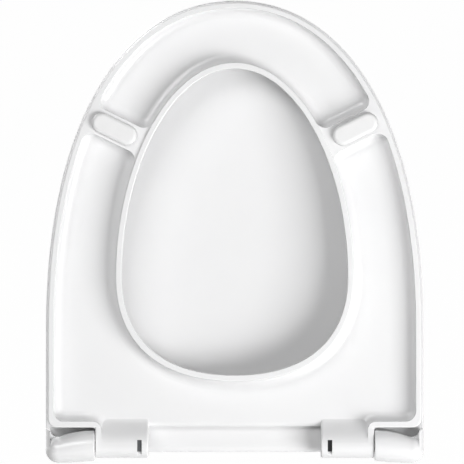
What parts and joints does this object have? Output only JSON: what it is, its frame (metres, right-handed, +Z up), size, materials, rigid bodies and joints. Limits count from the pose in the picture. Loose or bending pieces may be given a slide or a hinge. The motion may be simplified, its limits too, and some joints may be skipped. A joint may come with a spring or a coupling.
{
  "type": "toilet seat",
  "caption": "White toilet seat ring with a domed lid on a soft-close hinge, raised; seat and lid lower about one axis between two post sockets.",
  "frame": {"origin": "middle of the hinge axis, halfway between the two post sockets", "axes": "+X along the hinge axis to the right as seen from in front, +Z up, -Y towards the front of the pan"},
  "size_m": [0.3652, 0.0772, 0.4438],
  "materials": {
    "white_moulding": "glossy white moulding",
    "pad_rubber": "soft white",
    "damper_plastic": "dark moulded",
    "rotor_plastic": "pale moulded",
    "seal_rubber": "black rubber",
    "bush_plastic": "natural moulded"
  },
  "bodies": {
    "hinge_base": {"seat_damper_rotor": "rotor_plastic", "seat_damper_o_ring": "seal_rubber", "seat_damper_valve": "rotor_plastic", "post_bush": "bush_plastic"},
    "lid_body": {"lid": "white_moulding", "lid_buffer_left": "pad_rubber", "lid_buffer_right": "pad_rubber", "lid_pivot_bush": "bush_plastic", "lid_drive_insert": "bush_plastic", "lid_damper_rotor": "rotor_plastic", "lid_damper_o_ring": "seal_rubber", "lid_damper_valve": "rotor_plastic"},
    "seat_body": {"seat_ring": "white_moulding", "seat_bumper_left": "pad_rubber", "seat_bumper_right": "pad_rubber", "seat_damper_housing": "damper_plastic", "seat_damper_cap": "damper_plastic", "lid_damper_housing": "damper_plastic", "lid_damper_cap": "damper_plastic"}
  },
  "joints": [
    {"name": "lid_lower", "type": "hinge", "parent": "hinge_base", "child": "lid_body", "pos_m": [0, 0, 0], "axis": [1, 0, 0], "range_deg": [0, 95]},
    {"name": "seat_lower", "type": "hinge", "parent": "lid_body", "child": "seat_body", "pos_m": [0, 0, 0], "axis": [1, 0, 0], "range_deg": [0, 95]}
  ]
}
